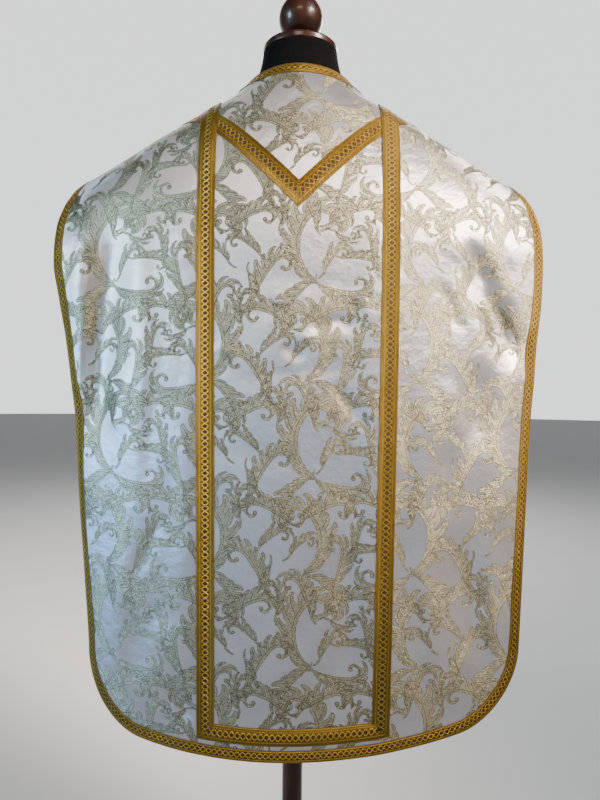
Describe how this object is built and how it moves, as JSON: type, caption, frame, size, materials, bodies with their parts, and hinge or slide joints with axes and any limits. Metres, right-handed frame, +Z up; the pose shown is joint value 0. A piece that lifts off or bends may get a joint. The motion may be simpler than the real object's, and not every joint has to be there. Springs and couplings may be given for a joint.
{
  "type": "roman chasuble on a dress form",
  "caption": "Roman chasuble of silver-white damask with gold galloon, open at the sides, hanging from the shoulders of a limbless dress form with a turned wooden cap, pole and round base.",
  "frame": {"origin": "centre of the underside of the round base, on the surface that it stands on", "axes": "+Z up along the pole, +Y out of the chest, so the back panel faces -Y, +X towards the form's own right shoulder"},
  "size_m": [0.7368, 0.41, 1.6157],
  "materials": {
    "brocade": "satin damask with metallic thread",
    "galloon": "woven gold braid with dark brown diamonds",
    "jersey": "matt knitted cover",
    "wood": "dark stained, semi-gloss varnish"
  },
  "bodies": {
    "root": {"back_panel": "brocade", "front_panel": "brocade", "back_edge_galloon": "galloon", "front_edge_galloon": "galloon", "neck_galloon": "galloon", "back_v_band_left": "galloon", "back_v_band_right": "galloon", "back_band_left": "galloon", "back_band_right": "galloon", "back_band_foot": "galloon", "front_v_band_left": "galloon", "front_v_band_right": "galloon", "front_band_left": "galloon", "front_band_right": "galloon", "front_band_foot": "galloon", "form_torso": "jersey", "form_neck_cap": "wood", "form_knob": "wood", "form_pole": "wood", "form_base": "wood"}
  },
  "joints": []
}
